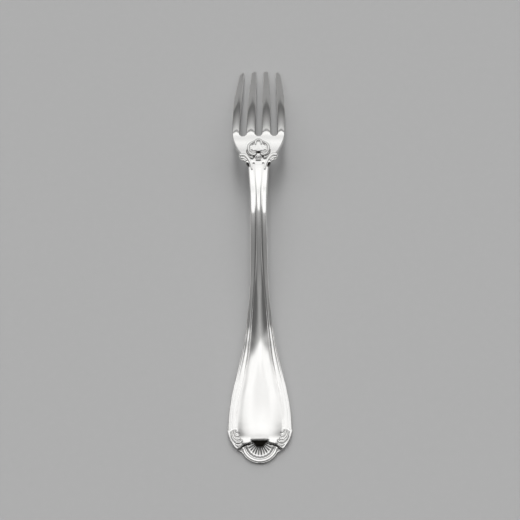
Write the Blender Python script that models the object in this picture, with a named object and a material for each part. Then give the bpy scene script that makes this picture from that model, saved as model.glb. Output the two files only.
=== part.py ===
"""A child's table fork lying face down, with its back up.

The body is one struck piece of metal: four tines, root, neck, stem and threaded handle. The shell, the
scrolls beside it, the neck cartouche and the shoulder leaves are applied ornaments, each seated a hair
above the body. Places along the fork are measured in millimetres from the end of the handle.
"""

import math

import bmesh
import bpy
import numpy as np

MM = 0.001
LENGTH = 150.0
SEAT_GAP = 0.3

# Back of the body along its middle: (place along the fork, height above the table)
BACK = [(0, 1.9), (4, 2.15), (9, 2.5), (16, 3.1), (24, 3.5), (30, 3.9), (36, 4.7), (44, 6.3), (54, 8.7),
        (64, 11.1), (74, 13.4), (84, 15.5), (93, 17.0), (100, 17.6), (106, 17.5), (111, 16.85), (116, 15.55),
        (121, 13.8), (127, 11.3), (133, 8.5), (139, 5.6), (145, 2.75), (150, 0.45)]
# Thickness of the body along its middle, cut flat where it would reach below the table
THICKNESS = [(0, 1.6), (8, 2.6), (16, 3.2), (24, 3.55), (36, 3.7), (44, 3.8), (80, 3.8), (94, 3.7),
             (101, 3.3), (107, 2.9), (113, 2.5), (120, 2.3), (130, 2.1), (140, 1.8), (147, 1.4), (150, 1.1)]
# Half width of the outline, from the notch beside the shell to the outer tines
HALF_WIDTH = [(3.5, 6.0), (4.3, 7.5), (6.5, 9.2), (9, 10.05), (12, 10.3), (16, 10.1), (20, 9.5), (25, 8.5),
              (30, 7.35), (35, 6.3), (40, 5.3), (45, 4.5), (50, 3.8), (56, 3.2), (62, 2.85), (72, 2.65),
              (84, 2.5), (91, 2.75), (97, 3.1), (101, 3.8), (104, 5.2), (107, 7.0), (110, 8.3), (113, 9.05),
              (118, 9.3), (125, 9.42), (132, 9.27), (141, 8.55), (147, 7.85), (150, 7.2)]
# Width of the band of threads along each edge
THREAD_BAND = [(0, 3.3), (20, 3.3), (30, 3.0), (40, 2.35), (52, 1.8), (104, 1.8)]
LOBE_RADIUS = 6.8

# Tines and the gaps between them
CROTCH = 112.6
GAP_CENTRE = [(112, 5.5), (119, 5.45), (132, 5.2), (147, 4.6), (150, 4.4)]
GAP_HALF = [(112, 1.12), (130, 1.12), (150, 1.3)]
OUTER_TIP = 149.4
TIP_ROUND = 1.4

# Cross-section of the body
EDGE_SHARE = 0.45
BACK_ROUND = 1.45
FRONT_ROUND = 1.1
ROOT_CROWN, CROWN_FADES = 0.4, (8, 40)
LEAST_HALF = 0.2
HEAD_STARTS, HEAD_WHOLE = 99.0, 104.0
THREADS_END, THREADS_WHOLE = 9.5, 11.5

# Relief of the threaded handle, as shares of the height of the back above the edge
PLATE_LEVEL = 0.5
PLATE_ROUND = 0.45
OUTER_THREAD = (0.22, 0.20, 0.24)
INNER_THREAD = (0.62, 0.17, 0.20)
INNER_THREAD_FADES = (3.2, 5.5)
PANEL_END, PANEL_ROUND = 8.6, 7.4

# Columns of points across the body, as shares of the thread band, of the panel and of each tine
THREAD_COLUMNS = (0, 0.05, 0.14, 0.26, 0.42, 0.52, 0.66, 0.8, 0.98)
PANEL_COLUMNS = (0.2, 0.45, 0.72, 1.0)
BAND_LIMIT = 0.7
COLUMNS_PER_TINE = 6
TINE_COLUMNS_FROM, TINE_COLUMNS_WHOLE = 96, 109
# Rows of points along the body, then along a tine
END_ROWS, END_ROW_TURN = 7, 0.25
SHOULDER_ROWS = (3.9, 4.6, 5.6, 6.8, 8.0, 8.7, 9.5, 10.5, 11.6, 13.2)
HANDLE_ROWS, STEM_ROWS, NECK_ROWS = (15.5, 56, 3.4), (58, 96, 5.4), (97, 110.5, 1.5)
ROWS_BEFORE_CROTCH = (1.6, 0.9, 0.45, 0.15, 0.0)
CROTCH_ROWS, CROTCH_ROW_TURN, TINE_ROWS, TIP_TURNS = 4, 0.45, 12, (0.5, 0.95, 1.3)

# Shell at the end of the handle
HINGE_AT, EAR_FOOT, EAR_HALF = 7.8, 6.7, 2.9
SHELL_SIDE = (4.35, 5.3)
SHELL_HALF, SHELL_RADIUS, SHELL_RIBS = 5.8, 6.55, 9
SHELL_CENTRE, RIB_FOCUS, RIB_DEPTH = (0.0, 4.6), 8.8, 0.22
SHELL_HINGE_HEIGHT, SHELL_RIM_HEIGHT, SHELL_RIM_AT = 1.15, 0.35, 0.4
RIBS_FROM, RIBS_TO, RIBS_FADE = (0.6, 2.0), 7.3, 1.5
SHELL_RIM_POINTS, SHELL_RINGS = 33, (0.2, 0.45, 0.7, 0.88, 1.0)

# Scrolls beside the shell
SCROLL_CENTRE, SCROLL_RADII, SCROLL_TILT = (7.6, 7.7), (1.95, 3.1), 22.0
SCROLL_EYE, SCROLL_RIDGE_PITCH = (0.25, 0.2), 0.42
SCROLL_HEIGHT, SCROLL_RIDGE_DEPTH, SCROLL_DOME = 0.75, 0.25, 0.85
SCROLL_POINTS, SCROLL_RINGS = 28, (0.15, 0.3, 0.45, 0.6, 0.75, 0.9, 1.0)

# Cartouche at the neck
CARTOUCHE_CENTRE, CARTOUCHE_RADII = (0.0, 107.0), (4.0, 3.3)
CARTOUCHE_RIM, CARTOUCHE_HOLLOW, CARTOUCHE_BOSS = 0.55, 0.25, 0.6
RIM_AT, RIM_HALF, BOSS_REACH = 0.86, 0.14, 0.7
PALMETTE_LOBES, LOBE_DEPTH = 5, 0.25
CARTOUCHE_POINTS, CARTOUCHE_RINGS = 32, (0.25, 0.5, 0.7, 0.78, 0.86, 0.94, 1.0)

# Middle line of a shoulder leaf: (place across the fork, place along it, half width of the leaf)
LEAF_LINE = [(3.15, 98.6, 0.35), (3.55, 100.4, 0.6), (4.35, 102.3, 0.85), (5.35, 104.0, 1.05),
             (6.2, 105.3, 1.0), (6.75, 106.2, 0.6)]
LEAF_HEIGHT, LEAF_EDGE, LEAF_LIFT = 0.75, 0.2, 0.15
LEAF_END, LEAF_END_ROWS = 0.3, 2
LEAF_ROWS, LEAF_COLUMNS = 13, 7

SILVER = (0.88, 0.87, 0.85, 1.0)
SILVER_ROUGHNESS = 0.06


def clear_scene():
    for obj in list(bpy.data.objects):
        bpy.data.objects.remove(obj)


def smooth_curve(stations, at):
    """Height of a smooth curve through the stations, with no swing past them."""
    places, values = np.array(stations, float).T
    step = np.diff(places)
    rise = np.diff(values) / step
    slope = np.concatenate([rise[:1], np.zeros(len(step) - 1), rise[-1:]])
    for i in range(1, len(step)):
        if rise[i - 1] * rise[i] > 0:
            before, after = 2 * step[i] + step[i - 1], step[i] + 2 * step[i - 1]
            slope[i] = (before + after) / (before / rise[i - 1] + after / rise[i])
    at = np.asarray(at, float)
    i = np.clip(np.searchsorted(places, at) - 1, 0, len(step) - 1)
    t = np.clip((at - places[i]) / step[i], 0, 1)
    held = values[i] * (1 + 2 * t) * (1 - t) ** 2 + values[i + 1] * t * t * (3 - 2 * t)
    return held + step[i] * (slope[i] * t * (1 - t) ** 2 + slope[i + 1] * t * t * (t - 1))


def ease(value, low, high):
    t = np.clip((value - low) / (high - low), 0, 1)
    return t * t * (3 - 2 * t)


def quarter_round(share):
    """Height of a round edge, from 0 at the edge to 1 where the round ends."""
    return np.sqrt(1 - (1 - np.clip(share, 0, 1)) ** 2)


def half_round(share):
    """Height of a round rib across its half width."""
    return np.sqrt(np.clip(1 - share ** 2, 0, 1))


def half_width(s):
    s = np.asarray(s, float)
    lobe = np.sqrt(np.clip(LOBE_RADIUS ** 2 - (LOBE_RADIUS - s) ** 2, 0, None))
    return np.where(s < HALF_WIDTH[0][0], lobe, smooth_curve(HALF_WIDTH, s))


def gap_half(s):
    """Half width of a gap between tines, with its round bottom at the crotch."""
    whole = smooth_curve(GAP_HALF, s)
    return whole * quarter_round((s - CROTCH) / GAP_HALF[0][1])


def tine_tip(tine):
    return OUTER_TIP if tine in (0, 3) else LENGTH


def tine_edges(tine, s):
    """Left and right edge of one tine, counted from the left, closing to a round tip."""
    s = np.asarray(s, float)
    outer, centre, gap = half_width(s), smooth_curve(GAP_CENTRE, s), gap_half(s)
    left, right = [(-outer, -centre - gap), (-centre + gap, -gap),
                   (gap, centre - gap), (centre + gap, outer)][tine]
    closing = half_round(np.clip((s - tine_tip(tine) + TIP_ROUND) / TIP_ROUND, 0, 1))
    middle, half = (left + right) / 2, (right - left) / 2 * closing
    return middle - half, middle + half


def outline_points():
    """Points close together all along the outline of the body, seen from above."""
    turn = np.linspace(0, math.pi / 2, 60)
    end = HALF_WIDTH[0][0] * (1 - np.cos(turn))
    root = np.concatenate([end, np.linspace(end[-1], CROTCH, 700)])
    points = [np.stack([side * half_width(root), root], 1) for side in (-1, 1)]
    for tine in range(4):
        tip = tine_tip(tine)
        bottom = CROTCH + GAP_HALF[0][1] * (1 - np.cos(turn))
        along = np.concatenate([bottom, np.linspace(bottom[-1], tip - TIP_ROUND, 220),
                                tip - TIP_ROUND + TIP_ROUND * np.sin(turn)])
        points += [np.stack([edge, along], 1) for edge in tine_edges(tine, along)]
    return np.concatenate(points)


OUTLINE = outline_points()


def edge_distance(x, s):
    """How far each place on the body lies from its outline."""
    places = np.stack([x, s], 1)
    return np.array([np.sqrt(((OUTLINE - place) ** 2).sum(1).min()) for place in places])


def front_height(s):
    """Underside of the body along its middle, flat where the fork rests on the table."""
    return np.clip(smooth_curve(BACK, s) - smooth_curve(THICKNESS, s), 0, None)


def edge_height(s):
    return (1 - EDGE_SHARE) * front_height(s) + EDGE_SHARE * smooth_curve(BACK, s)


def thread_relief(x, s, edge):
    """Threads along the edges and the pillowed panel between them, as a share of the full height."""
    width, band = half_width(s), smooth_curve(THREAD_BAND, s)
    across = edge / band
    shown = ease(s, THREADS_END, THREADS_WHOLE)
    relief = PLATE_LEVEL * quarter_round(edge / PLATE_ROUND)
    inner_strength = ease(width, *INNER_THREAD_FADES)
    for (place, half, height), strength in ((OUTER_THREAD, 1), (INNER_THREAD, inner_strength)):
        relief = relief + height * shown * strength * half_round((across - place) / half)
    ending = np.clip((PANEL_END + PANEL_ROUND - s) / PANEL_ROUND, 0, None)
    off_middle = (x / np.clip(width - band, LEAST_HALF, None)) ** 2 + ending ** 2
    return relief + (1 - PLATE_LEVEL) * np.clip(1 - off_middle, 0, 1)


def upper_face(x, s, edge):
    """Height of the back of the body."""
    rise = smooth_curve(BACK, s) - edge_height(s)
    head = ease(s, HEAD_STARTS, HEAD_WHOLE)
    plain = quarter_round(edge / BACK_ROUND)
    off_middle = x / np.clip(half_width(s), LEAST_HALF, None)
    crown = ROOT_CROWN * head * ease(LENGTH - s, *CROWN_FADES) * off_middle ** 2
    share = head * plain + (1 - head) * thread_relief(x, s, edge)
    return edge_height(s) + rise * share - crown * plain


def lower_face(x, s, edge):
    """Height of the front of the body, which faces the table."""
    level = edge_height(s)
    return level - (level - front_height(s)) * quarter_round(edge / FRONT_ROUND)


def tine_columns(left, right):
    spread = -np.cos(np.linspace(0, math.pi, COLUMNS_PER_TINE + 1))
    return (left + right) / 2 + (right - left) / 2 * spread


def columns_across(s):
    """Places across the body where its columns of points run, from the left edge to the right."""
    width = float(half_width(s))
    band = min(float(smooth_curve(THREAD_BAND, s)), BAND_LIMIT * width)
    threads = [band * share for share in THREAD_COLUMNS]
    inward = np.array(threads + [band + (width - band) * share for share in PANEL_COLUMNS])
    handle = np.concatenate([-(width - inward), (width - inward)[-2::-1]])
    centre = float(smooth_curve(GAP_CENTRE, s))
    bounds = [-width, -centre, 0.0, centre, width]
    head = [bounds[0]]
    for low, high in zip(bounds, bounds[1:]):
        head += list(tine_columns(low, high)[1:])
    turn = ease(s, TINE_COLUMNS_FROM, TINE_COLUMNS_WHOLE)
    return handle * (1 - turn) + np.array(head) * turn


def body_rows():
    """Places along the fork, from the handle end to the crotch, where its rows of points lie."""
    turns = np.linspace(END_ROW_TURN, math.pi / 2, END_ROWS)
    end = HALF_WIDTH[0][0] * (1 - np.cos(turns))
    long_runs = [np.arange(*run, dtype=float) for run in (HANDLE_ROWS, STEM_ROWS, NECK_ROWS)]
    before_crotch = CROTCH - np.array(ROWS_BEFORE_CROTCH)
    return np.concatenate([end, SHOULDER_ROWS, *long_runs, before_crotch])


def tine_rows(tine):
    tip, crotch_round = tine_tip(tine), GAP_HALF[0][1]
    turns = np.linspace(CROTCH_ROW_TURN, math.pi / 2, CROTCH_ROWS)
    bottom = CROTCH + crotch_round * (1 - np.cos(turns))
    along = np.linspace(bottom[-1], tip - TIP_ROUND, TINE_ROWS)[1:]
    return np.concatenate([bottom, along, tip - TIP_ROUND * (1 - np.sin(TIP_TURNS))])


def plain_silver(name):
    material = bpy.data.materials.new(name)
    material.use_nodes = True
    shader = material.node_tree.nodes["Principled BSDF"]
    shader.inputs["Base Color"].default_value = SILVER
    shader.inputs["Metallic"].default_value = 1.0
    shader.inputs["Roughness"].default_value = SILVER_ROUGHNESS
    return material


def finish_object(name, shape):
    """Turn the modelled shape into a named object with its own silver."""
    bmesh.ops.recalc_face_normals(shape, faces=shape.faces)
    mesh = bpy.data.meshes.new(name)
    shape.to_mesh(mesh)
    shape.free()
    mesh.shade_smooth()
    mesh.materials.append(plain_silver(name + "_silver"))
    obj = bpy.data.objects.new(name, mesh)
    bpy.context.scene.collection.objects.link(obj)
    return obj


def add_points(shape, x, s, z):
    return [shape.verts.new((a * MM, (b - LENGTH / 2) * MM, c * MM)) for a, b, c in zip(x, s, z)]


def add_row(shape, x, s, shared):
    """One row of points over the back and one over the front, joined at the shared columns."""
    s = np.full(len(x), s)
    edge = edge_distance(x, s)
    edge[list(shared)] = 0
    back = add_points(shape, x, s, upper_face(x, s, edge))
    front_z = lower_face(x, s, edge)
    front = [back[c] if c in shared else add_points(shape, x[c:c + 1], s[c:c + 1], front_z[c:c + 1])[0]
             for c in range(len(x))]
    return back, front


def join_rows(shape, first, second):
    for side in (0, 1):
        for c in range(len(first[side]) - 1):
            corners = [first[side][c], first[side][c + 1], second[side][c + 1], second[side][c]]
            shape.faces.new(corners if side else corners[::-1])


def close_row(shape, row, x, s):
    """Close a row to one point at the end of the handle or of a tine."""
    point = add_points(shape, [x], [s], [float(edge_height(s))])[0]
    for side in (0, 1):
        for c in range(len(row[side]) - 1):
            shape.faces.new((row[side][c], row[side][c + 1], point))


def make_fork_body():
    shape = bmesh.new()
    last_column = 4 * COLUMNS_PER_TINE
    row = None
    for s in body_rows():
        x = columns_across(s)
        at_crotch = s == CROTCH
        shared = range(0, last_column + 1, COLUMNS_PER_TINE) if at_crotch else (0, last_column)
        new_row = add_row(shape, x, s, shared)
        if row:
            join_rows(shape, row, new_row)
        else:
            close_row(shape, new_row, 0.0, 0.0)
        row = new_row
    for tine in range(4):
        first = tine * COLUMNS_PER_TINE
        tine_row = tuple(side[first:first + COLUMNS_PER_TINE + 1] for side in row)
        for s in tine_rows(tine):
            x = tine_columns(*tine_edges(tine, s))
            new_row = add_row(shape, x, s, (0, COLUMNS_PER_TINE))
            join_rows(shape, tine_row, new_row)
            tine_row = new_row
        left, right = tine_edges(tine, tine_tip(tine))
        close_row(shape, tine_row, float(left + right) / 2, tine_tip(tine))
    return finish_object("fork_body", shape)


def seat_height(x, s):
    """Seat of an ornament: a hair above the back of the body or, outside it, above its edge."""
    inside = np.abs(x) < half_width(s)
    return upper_face(x, s, np.where(inside, edge_distance(x, s), 0)) + SEAT_GAP


def make_plaque(name, outline, centre, height, rings):
    """An ornament whose underside follows the body and whose face stands up by height(x, s)."""
    shape = bmesh.new()
    outline, centre = np.array(outline, float), np.array(centre, float)
    layers = []
    for side in ("face", "seat"):
        layers.append([])
        for share in rings:
            x, s = (centre + (outline - centre) * share).T
            z = seat_height(x, s)
            layers[-1].append(add_points(shape, x, s, z + height(x, s) if side == "face" else z))
        x, s = centre[None].T
        z = seat_height(x, s)
        middle = add_points(shape, x, s, z + height(x, s) if side == "face" else z)[0]
        count = len(outline)
        for ring, wider in zip(layers[-1], layers[-1][1:]):
            for i in range(count):
                j = (i + 1) % count
                shape.faces.new((ring[i], ring[j], wider[j], wider[i]))
        for i in range(count):
            shape.faces.new((middle, layers[-1][0][i], layers[-1][0][(i + 1) % count]))
    top, bottom = layers[0][-1], layers[1][-1]
    for i in range(len(top)):
        j = (i + 1) % len(top)
        shape.faces.new((top[i], top[j], bottom[j], bottom[i]))
    return finish_object(name, shape)


def oval(centre, radii, tilt, side, count):
    """Points round a tilted oval, mirrored to the left where side is -1."""
    turn = np.linspace(0, 2 * math.pi, count, endpoint=False)
    across, along = radii[0] * np.cos(turn), radii[1] * np.sin(turn)
    c, n = math.cos(math.radians(tilt)), math.sin(math.radians(tilt))
    return np.stack([side * (centre[0] + across * c - along * -n), centre[1] + along * c - across * n], 1)


def oval_place(x, s, centre, radii, tilt, side):
    """Place inside a tilted oval: across and along, each from -1 to 1."""
    c, n = math.cos(math.radians(tilt)), math.sin(math.radians(tilt))
    dx, ds = side * x - centre[0], s - centre[1]
    return (dx * c - ds * n) / radii[0], (dx * n + ds * c) / radii[1]


def make_shell():
    low = math.asin(SHELL_HALF / SHELL_RADIUS)
    outline = [(SHELL_RADIUS * math.sin(t), LOBE_RADIUS - SHELL_RADIUS * math.cos(t))
               for t in np.linspace(-low, low, SHELL_RIM_POINTS)]
    right_side = [SHELL_SIDE, (EAR_HALF, EAR_FOOT), (EAR_HALF, HINGE_AT)]
    outline += right_side + [(0.0, HINGE_AT)] + [(-x, s) for x, s in reversed(right_side)]

    def height(x, s):
        rise = (SHELL_HINGE_HEIGHT - SHELL_RIM_HEIGHT) * ease(s, SHELL_RIM_AT, HINGE_AT)
        ribs = np.cos(SHELL_RIBS * 2 * np.arctan2(x, RIB_FOCUS - s))
        fan = ease(s, *RIBS_FROM) * ease(RIBS_TO - s, 0, RIBS_FADE)
        return SHELL_RIM_HEIGHT + rise + RIB_DEPTH * fan * (ribs - 1) / 2

    return make_plaque("shell", outline, SHELL_CENTRE, height, SHELL_RINGS)


def make_scroll(name, side):
    def height(x, s):
        across, along = oval_place(x, s, SCROLL_CENTRE, SCROLL_RADII, SCROLL_TILT, side)
        dome = np.sqrt(np.clip(1 - SCROLL_DOME * (across ** 2 + along ** 2), 0, 1))
        from_eye = np.hypot(across - SCROLL_EYE[0], along - SCROLL_EYE[1])
        ridges = np.cos(2 * math.pi * from_eye / SCROLL_RIDGE_PITCH)
        return SCROLL_HEIGHT * dome + SCROLL_RIDGE_DEPTH * dome * (ridges - 1) / 2

    outline = oval(SCROLL_CENTRE, SCROLL_RADII, SCROLL_TILT, side, SCROLL_POINTS)
    centre = (side * SCROLL_CENTRE[0], SCROLL_CENTRE[1])
    return make_plaque(name, outline, centre, height, SCROLL_RINGS)


def make_cartouche():
    def height(x, s):
        across, along = oval_place(x, s, CARTOUCHE_CENTRE, CARTOUCHE_RADII, 0, 1)
        out = np.hypot(across, along)
        rim = CARTOUCHE_RIM * half_round((out - RIM_AT) / RIM_HALF)
        lobes = 1 - LOBE_DEPTH + LOBE_DEPTH * np.cos(PALMETTE_LOBES * np.arctan2(across, along))
        boss = CARTOUCHE_BOSS * lobes * np.clip(1 - (out / BOSS_REACH) ** 2, 0, 1)
        return CARTOUCHE_HOLLOW + np.maximum(rim, boss)

    outline = oval(CARTOUCHE_CENTRE, CARTOUCHE_RADII, 0, 1, CARTOUCHE_POINTS)
    return make_plaque("neck_cartouche", outline, CARTOUCHE_CENTRE, height, CARTOUCHE_RINGS)


def make_shoulder_leaf(name, side):
    """A leaf that runs up from the stem and flares out to the shoulder, round across."""
    shape = bmesh.new()
    steps = np.linspace(0, len(LEAF_LINE) - 1, LEAF_ROWS)
    x, s, half = (smooth_curve(list(enumerate(values)), steps) for values in zip(*LEAF_LINE))
    slope_x, slope_s = np.gradient(x), np.gradient(s)
    long = np.hypot(slope_x, slope_s)
    rows = []
    for i in range(LEAF_ROWS):
        across = -np.cos(np.linspace(0, math.pi, LEAF_COLUMNS))
        row_x = side * (x[i] + across * half[i] * slope_s[i] / long[i])
        row_s = s[i] - across * half[i] * slope_x[i] / long[i]
        seat = seat_height(row_x, row_s) + LEAF_LIFT
        from_end = min(i, LEAF_ROWS - 1 - i)
        swell = LEAF_END + (1 - LEAF_END) * quarter_round(from_end / LEAF_END_ROWS)
        face = seat + LEAF_EDGE + LEAF_HEIGHT * half_round(across) * swell * half[i]
        rows.append(add_points(shape, row_x, row_s, face) + add_points(shape, row_x, row_s, seat)[::-1])
    for row, following in zip(rows, rows[1:]):
        for i in range(len(row)):
            j = (i + 1) % len(row)
            shape.faces.new((row[i], row[j], following[j], following[i]))
    for row in (rows[0], rows[-1]):
        for i in range(LEAF_COLUMNS - 1):
            shape.faces.new((row[i], row[i + 1], row[-2 - i], row[-1 - i]))
    return finish_object(name, shape)


def main():
    clear_scene()
    make_fork_body()
    make_shell()
    make_cartouche()
    for name, side in (("left", -1), ("right", 1)):
        make_scroll(name + "_scroll", side)
        make_shoulder_leaf(name + "_shoulder_leaf", side)


main()
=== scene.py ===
"""A child's fork in polished silver, lying face down on a pale table.

The body is one sheet of height over its plan. Its back carries the threads, the pillowed panel and the
three bands of the stem, and every edge is rounded by its distance from the outline. The shell, the scrolls,
the cartouche and the shoulder leaves are reliefs that grow out of the back. Places are in millimetres: x
across the fork, s along it from the end of the handle, and z up from the table.
"""

import math

import bmesh
import bpy
import numpy as np
from mathutils import Matrix, Vector, kdtree


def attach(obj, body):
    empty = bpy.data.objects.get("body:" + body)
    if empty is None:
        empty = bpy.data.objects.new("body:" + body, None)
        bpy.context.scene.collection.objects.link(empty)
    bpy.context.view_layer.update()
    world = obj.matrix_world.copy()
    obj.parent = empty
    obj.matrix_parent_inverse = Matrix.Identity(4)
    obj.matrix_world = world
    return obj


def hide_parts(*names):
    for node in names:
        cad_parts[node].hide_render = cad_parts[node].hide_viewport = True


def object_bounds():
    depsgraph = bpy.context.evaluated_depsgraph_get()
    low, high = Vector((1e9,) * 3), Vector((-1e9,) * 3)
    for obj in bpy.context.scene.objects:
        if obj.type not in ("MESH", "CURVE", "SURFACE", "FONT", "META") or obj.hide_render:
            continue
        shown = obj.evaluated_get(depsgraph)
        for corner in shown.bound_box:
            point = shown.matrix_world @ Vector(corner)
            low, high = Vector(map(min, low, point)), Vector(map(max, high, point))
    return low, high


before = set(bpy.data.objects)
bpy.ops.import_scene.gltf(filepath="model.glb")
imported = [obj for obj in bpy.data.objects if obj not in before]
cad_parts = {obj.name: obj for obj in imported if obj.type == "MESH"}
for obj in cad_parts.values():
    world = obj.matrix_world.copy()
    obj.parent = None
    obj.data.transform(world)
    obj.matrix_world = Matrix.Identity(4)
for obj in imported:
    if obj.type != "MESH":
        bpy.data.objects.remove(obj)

CAD_BOX = [list(corner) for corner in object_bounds()]
MM = 0.001
LENGTH = round((CAD_BOX[1][1] - CAD_BOX[0][1]) / MM, 2)

# Rise of the back along its middle: (place along the fork, degrees), from the height of the handle end
BACK_END = 3.1
BACK_RISE = [(0, 0.2), (6, 0.5), (12, 1.3), (20, 2.9), (28, 4.0), (34, 5.2), (40.6, 7.5), (43, 8.4),
             (46, 9.2), (50, 10.2), (55, 11.9), (60, 13.8), (66, 16.8), (72, 18.4), (78, 15.8),
             (83.5, 10.9), (90, 8.6), (96, 4.8), (100, 1.3), (104, -1.8), (108, -5.6), (112, -11.6),
             (114.7, -15.8), (118, -19.0), (124, -22.6), (132, -25.4), (140, -25.7), (150, -24.3)]
BACK_STEPS_PER_MM = 20
# Thickness of the body along its middle, cut flat where it would reach below the table
THICKNESS = [(0, 3.0), (8, 3.2), (16, 3.5), (24, 3.7), (44, 3.8), (80, 3.8), (94, 3.7), (101, 3.3),
             (107, 2.9), (113, 2.5), (120, 2.3), (130, 2.1), (140, 1.8), (147, 1.4), (150, 1.1)]
# Half width of the outline from the notch beside the shell on, and the round end before it
HALF_WIDTH = [(3.4, 5.6), (4.2, 7.0), (6.2, 8.8), (8.5, 9.98), (11.5, 10.58), (15.5, 10.44), (20, 9.92),
              (24, 9.22), (29, 8.05), (34, 6.9), (40, 5.62), (45, 4.8), (50, 4.15), (56, 3.55), (62, 3.2),
              (72, 3.02), (84, 2.9), (91, 3.05), (96, 3.38), (99, 3.55), (100.5, 3.75), (102, 4.4),
              (104.2, 5.4), (107, 7.25), (110, 8.5), (113, 9.15), (118, 9.35), (125, 9.45), (132, 9.27),
              (141, 8.55), (147, 7.85), (150, 7.2)]
LOBE_RADIUS = 6.3
# Width of the band of threads along each edge
THREAD_BAND = [(0, 3.0), (6.2, 2.9), (8.5, 3.4), (11.5, 3.5), (16, 3.4), (24, 3.3), (34, 3.1), (40, 2.5),
               (47, 2.0), (54, 1.75), (60, 1.8), (66, 1.95), (72, 2.1), (86, 2.1), (96, 2.2), (104, 2.2)]

# Tines and the gaps between them
CROTCH = 112.8
GAP_CENTRE = [(112, 5.5), (119, 5.45), (132, 5.2), (147, 4.6), (150, 4.4)]
GAP_HALF = [(112, 1.12), (130, 1.12), (150, 1.3)]
OUTER_TIP = 149.4
TIP_ROUND = 1.4

# Cross-section: how far up the thickness the edge lies, and the rounds over and under it
EDGE_SHARE = [(0, 0.52), (2.6, 0.55), (4.4, 0.75), (8, 0.75), (14, 0.45), (104, 0.45)]
BACK_ROUND = 0.22
FRONT_ROUND = [(0, 2.4), (8, 2.6), (14, 1.1), (104, 1.1)]
# Crown of the root, and of each tine beside its edges
ROOT_CROWN = 0.15
EDGE_CROWN, CROWN_REACH, CROWN_POWER = 0.26, 2.0, 2.6
CROWN_STARTS, CROWN_WHOLE = 112.0, 121.0
# Where the relief of the stem gives way to the plain root
HEAD_STARTS, HEAD_WHOLE = 100.8, 102.2
LEAST_HALF = 0.2
SLANT_STEP = 0.5

# Rim and threads of the handle and stem: (place in the band, half width in the band, height)
RIM_ROUND = 0.42
HANDLE_THREADS = [(0.12, 0.09, 0.05), (0.31, 0.10, 0.07), (0.63, 0.22, 0.09)]
THREAD_SHARE = [(10, 0.6), (26, 0.6), (36, 1.2), (60, 1.2)]
STEM_BAND = (0.45, 0.45, 0.17)
STEM_SHARE = [(62, 1.0), (80, 1.0), (88, 0.5), (100, 0.4)]
# Half widths between which the stem's band turns into threads, and where these end
HANDLE_FROM, HANDLE_WHOLE = 3.0, 4.8
THREADS_END, THREADS_WHOLE = 6.5, 9.5
# Height of the panel over the threads, how square it is, and how softly its foot runs out
PILLOW = [(0, 0.42), (6.4, 0.42), (8.8, 0.54), (20, 0.52), (29, 0.52), (34, 0.53), (40, 0.52), (47, 0.66),
          (51, 0.62), (56, 0.44), (60, 0.34), (72, 0.28), (86, 0.22), (94, 0.12), (104, 0.12)]
PILLOW_POWER = [(0, 2.5), (9, 2.5), (14, 2.6), (20, 2.8), (24, 2.8), (29, 2.2), (34, 1.7), (40, 1.7),
                (47, 1.6), (54, 1.6), (62, 3.0), (80, 4.0), (104, 4.0)]
SOFT_FOOT = [(0, 0.15), (8, 0.15), (18, 0.45), (25, 0.45), (32, 0.15), (50, 0.1), (58, 0.5), (104, 0.5)]
# Round end of the panel, its flat horns beside the shell, and the crown of the plate
PANEL_END, PANEL_ROUND, CORNER_POWER = 3.8, 6.0, 4
HORN_FLAT, HORN_INNER, HORN_OUTER = 0.36, 2.3, 3.3
PLATE_CROWN, CROWN_HALF = 0.6, 10.0

# Fineness of the body: points along its outline, columns across it and rows along it
OUTLINE_TURN, OUTLINE_SIDE, OUTLINE_TINE = 500, 9000, 2500
COLUMNS_PER_TINE = 28
THREAD_COLUMNS, THREAD_CROWDING = 36, 1.4
SLANT_FROM, WIDEST_BAND = 12.0, 0.7
TINE_COLUMNS_FROM, TINE_COLUMNS_WHOLE = 96, 109
END_ROWS, TIP_ROWS, CROTCH_ROWS = 14, 8, 8
FIRST_TURN, LAST_TURN = 0.12, 1.45
ROW_RUNS = [(3.5, 13.0, 0.2), (13.0, 97.0, 0.5), (97.0, CROTCH, 0.2)]
TINE_ROW = 0.5

# Tarnish in the grooves beside the panel: its share along the fork, and where it gathers
GROOVE_TARNISH = [(7, 0.5), (9.5, 0.4), (12.5, 0.12), (26, 0.12), (36, 0.4), (60, 0.35), (70, 0.45),
                  (82, 0.45), (87, 0.07), (104, 0.07)]
GROOVES_END, GROOVE_INWARD = (96.8, 101.8), (0.1, 0.4)
THREAD_FOOT, PANEL_FOOT = 0.05, 0.1
# Painted shade on the walls between the tines
WALL_PAINTED_SHADE, WALL_WIDTH = 0.85, 0.25
WALLS_START, WALLS_END = (CROTCH - 2, CROTCH + 2), (119, 130)
# Share of painted shade at the end of the panel, along its middle and added in its corners
PANEL_SHADE = [(7.2, 0.22), (8.4, 0.24), (9.4, 0.13), (10.4, 0.05), (11.8, 0.0), (104, 0.0)]
CORNER_SHADE = [(7.8, 0.0), (8.5, 0.08), (9.4, 0.3), (10.4, 0.34), (11.8, 0.33), (14, 0.2), (18, 0.1),
                (24, 0.0), (104, 0.0)]
CORNER_FROM, FOOT_FADES = 0.35, 0.5
BARE_HORN_ACROSS, BARE_HORN_ALONG = (2.6, 3.4), (7.6, 8.8)
# Painted shade under each leaf: its middle and half size, (along the fork, in from the edge)
UNDER_LEAF, UNDER_LEAF_HALF, UNDER_LEAF_SOFT = (101.1, 0.42), (1.7, 0.6), 0.55


# Curves and rounds

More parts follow.
